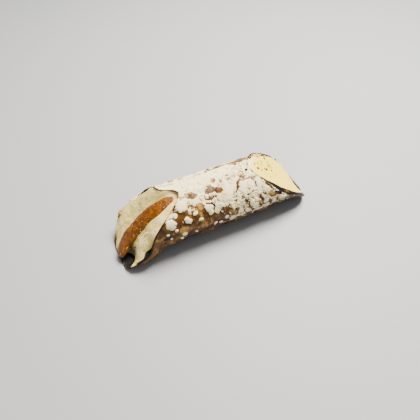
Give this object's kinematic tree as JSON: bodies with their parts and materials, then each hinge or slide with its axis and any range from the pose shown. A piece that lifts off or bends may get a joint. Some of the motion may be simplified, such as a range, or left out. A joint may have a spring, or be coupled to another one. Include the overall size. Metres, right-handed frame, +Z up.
{
  "type": "cannolo",
  "caption": "Fried pastry tube with slanted ends, lined with dark chocolate and filled with sweet ricotta cream, with candied orange peel on one end.",
  "frame": {"origin": "on the resting plane, under the middle of the overall length and width", "axes": "+X along the tube towards the end without peel, +Z up, -Y towards the side with the standing lip"},
  "size_m": [0.1436, 0.0424, 0.0403],
  "materials": {
    "fried_shell": "blistered fried dough, mostly under powdered sugar",
    "dark_chocolate": "thin dark chocolate coat",
    "ricotta_cream": "smooth moist cream",
    "candied_peel": "glossy candied peel with fine sugar"
  },
  "bodies": {
    "root": {"shell": "fried_shell", "chocolate_lining": "dark_chocolate", "filling": "ricotta_cream", "orange_peel": "candied_peel"}
  },
  "joints": []
}
